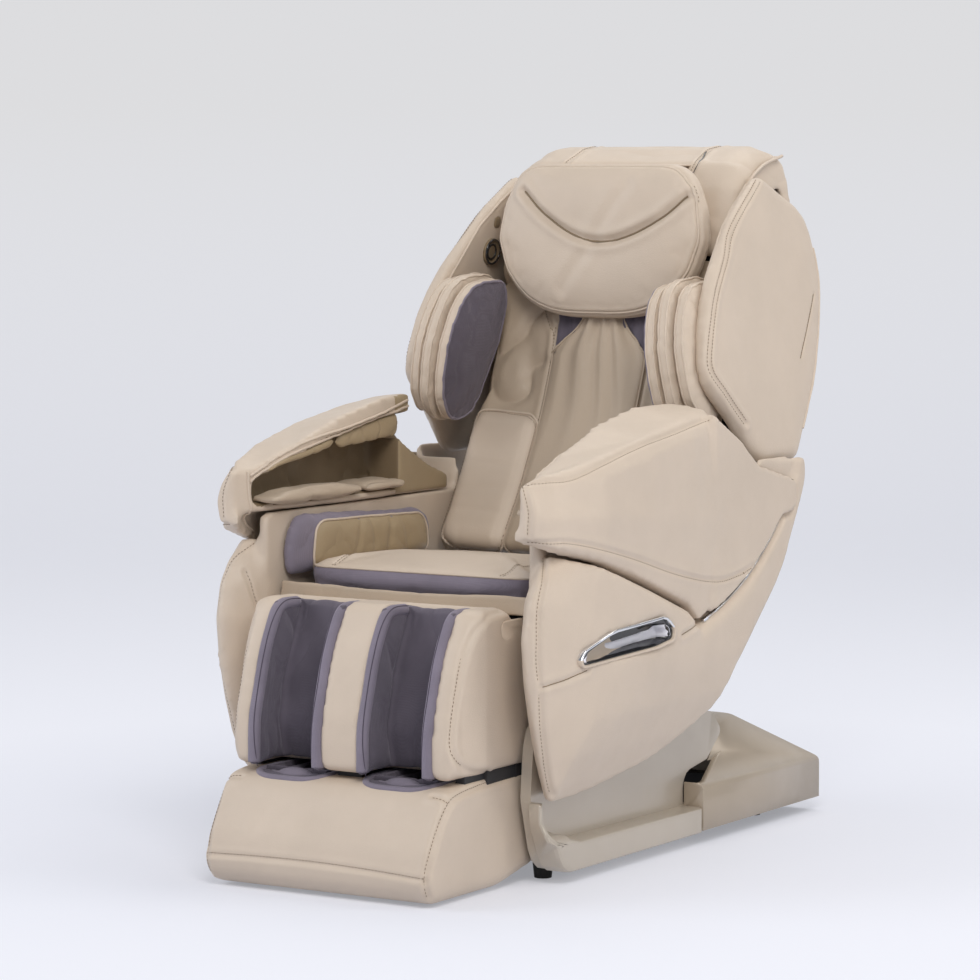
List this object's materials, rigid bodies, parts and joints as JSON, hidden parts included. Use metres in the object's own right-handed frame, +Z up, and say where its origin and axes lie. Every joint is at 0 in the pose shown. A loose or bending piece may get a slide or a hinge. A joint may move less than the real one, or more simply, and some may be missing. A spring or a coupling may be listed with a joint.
{
  "type": "massage chair",
  "caption": "Full-body massage chair with a reclining shell back, winged sides, padded leg and foot wells, hooded armrests and a head pillow on a low wheeled base.",
  "frame": {"origin": "on the floor under the middle of the chair at rest", "axes": "+X to the sitter's left, the sitter faces -Y, +Z up"},
  "size_m": [0.772, 1.2516, 1.247],
  "materials": {
    "leather": "grained upholstery leather, satin",
    "leather_dark": "soft inner leather, satin",
    "fabric": "woven air-pad fabric, matt",
    "cover": "moulded cover, semi-gloss",
    "bright": "bright plated trim",
    "dark": "dark moulded plastic, glossy",
    "frame": "black powder-coated steel",
    "steel": "ground steel",
    "housing": "matt plastic housing",
    "cast": "cast aluminium",
    "rubber": "black rubber"
  },
  "bodies": {
    "base": {"base_frame": "frame", "rear_cover": "cover", "power_inlet": "dark", "rubber_feet": "rubber", "wheel_brackets": "frame", "control_box": "housing", "air_pump": "cast", "base_side_cover_left": "cover", "base_side_cover_right": "cover"},
    "wheels": {"transport_wheels": "rubber"},
    "switch": {"power_switch": "dark"},
    "seat": {"seat_frame": "frame", "seat_cushion": "leather", "seat_flap": "leather", "side_panel_left": "leather", "side_panel_right": "leather", "side_trim_left": "bright", "side_trim_right": "bright", "grip_bezel_left": "bright", "grip_bezel_right": "bright", "grip_insert_left": "dark", "grip_insert_right": "dark", "hip_pad_left": "fabric", "hip_pad_right": "fabric"},
    "back": {"back_frame": "frame", "back_cushion": "leather_dark", "lumbar_pads": "leather_dark", "back_shell": "cover", "back_top": "leather", "pillow_strap": "leather", "back_wing_left": "leather", "back_wing_right": "leather", "shoulder_airbags_left": "fabric", "shoulder_airbags_right": "fabric", "speaker_left": "dark", "speaker_right": "dark"},
    "head_pillow": {"pillow": "leather"},
    "carriage": {"massage_carriage": "frame", "kneading_shaft": "steel", "carriage_guide_rollers": "housing", "massage_motor": "cast"},
    "calf": {"leg_rest": "leather", "leg_liner_left": "fabric", "leg_liner_right": "fabric"},
    "foot": {"foot_rest": "leather", "foot_slides": "steel", "foot_liner_left": "fabric", "foot_liner_right": "fabric"},
    "arm_left": {"arm_shell_left": "leather", "arm_airbags_left": "leather_dark"},
    "lever_left": {"roller_arm_left": "cast"},
    "roller_upper_left": {"massage_roller_upper_left": "rubber"},
    "roller_lower_left": {"massage_roller_lower_left": "rubber"},
    "arm_right": {"arm_shell_right": "leather", "arm_airbags_right": "leather_dark"},
    "lever_right": {"roller_arm_right": "cast"},
    "roller_upper_right": {"massage_roller_upper_right": "rubber"},
    "roller_lower_right": {"massage_roller_lower_right": "rubber"}
  },
  "joints": [
    {"name": "seat_tilt", "type": "hinge", "parent": "base", "child": "seat", "pos_m": [0, 0.12, 0.3], "axis": [-1, 0, 0], "range_deg": [0, 15]},
    {"name": "back_recline", "type": "hinge", "parent": "seat", "child": "back", "pos_m": [0, 0.17, 0.44], "axis": [-1, 0, 0], "range_deg": [0, 45]},
    {"name": "leg_lift", "type": "hinge", "parent": "seat", "child": "calf", "pos_m": [0, -0.395, 0.44], "axis": [-1, 0, 0], "range_deg": [0, 80]},
    {"name": "foot_extend", "type": "slide", "parent": "calf", "child": "foot", "axis": [0, 0, -1], "range_m": [0, 0.0801]},
    {"name": "arm_left_lift", "type": "hinge", "parent": "seat", "child": "arm_left", "pos_m": [0.37, 0.335, 0.618], "axis": [-1, 0, 0], "range_deg": [0, 13.6]},
    {"name": "arm_right_lift", "type": "hinge", "parent": "seat", "child": "arm_right", "pos_m": [-0.37, 0.335, 0.618], "axis": [-1, 0, 0], "range_deg": [0, 13.6]},
    {"name": "pillow_flip", "type": "hinge", "parent": "back", "child": "head_pillow", "pos_m": [0, 0.366, 1.213], "axis": [-1, 0, 0], "range_deg": [0, 100]},
    {"name": "carriage_travel", "type": "hinge", "parent": "back", "child": "carriage", "pos_m": [0, -0.782, 1.222], "axis": [1, 0, 0], "range_deg": [0, 15.5]},
    {"name": "kneading_left", "type": "hinge", "parent": "carriage", "child": "lever_left", "pos_m": [0.058, 0.32089, 0.57235], "axis": [1, 0, 0], "range_deg": [-6, 6]},
    {"name": "upper_roller_spin_left", "type": "hinge", "parent": "lever_left", "child": "roller_upper_left", "pos_m": [0.08, 0.32542, 0.6553], "axis": [1, 0, 0], "continuous": true},
    {"name": "lower_roller_spin_left", "type": "hinge", "parent": "lever_left", "child": "roller_lower_left", "pos_m": [0.08, 0.25054, 0.52817], "axis": [1, 0, 0], "continuous": true},
    {"name": "kneading_right", "type": "hinge", "parent": "carriage", "child": "lever_right", "pos_m": [-0.058, 0.32089, 0.57235], "axis": [1, 0, 0], "range_deg": [-6, 6]},
    {"name": "upper_roller_spin_right", "type": "hinge", "parent": "lever_right", "child": "roller_upper_right", "pos_m": [-0.08, 0.32542, 0.6553], "axis": [1, 0, 0], "continuous": true},
    {"name": "lower_roller_spin_right", "type": "hinge", "parent": "lever_right", "child": "roller_lower_right", "pos_m": [-0.08, 0.25054, 0.52817], "axis": [1, 0, 0], "continuous": true},
    {"name": "wheel_spin", "type": "hinge", "parent": "base", "child": "wheels", "pos_m": [0, 0.585, 0.028], "axis": [1, 0, 0], "continuous": true},
    {"name": "switch_rock", "type": "hinge", "parent": "base", "child": "switch", "pos_m": [0.176, 0.611, 0.062], "axis": [1, 0, 0], "range_deg": [-8, 8]}
  ],
  "couplings": [
    {"joint": "foot_extend", "follows": "leg_lift", "m_per_rad": 0.0573},
    {"joint": "arm_left_lift", "follows": "back_recline", "ratio": 0.3},
    {"joint": "arm_right_lift", "follows": "back_recline", "ratio": 0.3},
    {"joint": "kneading_right", "follows": "kneading_left", "ratio": -1}
  ]
}
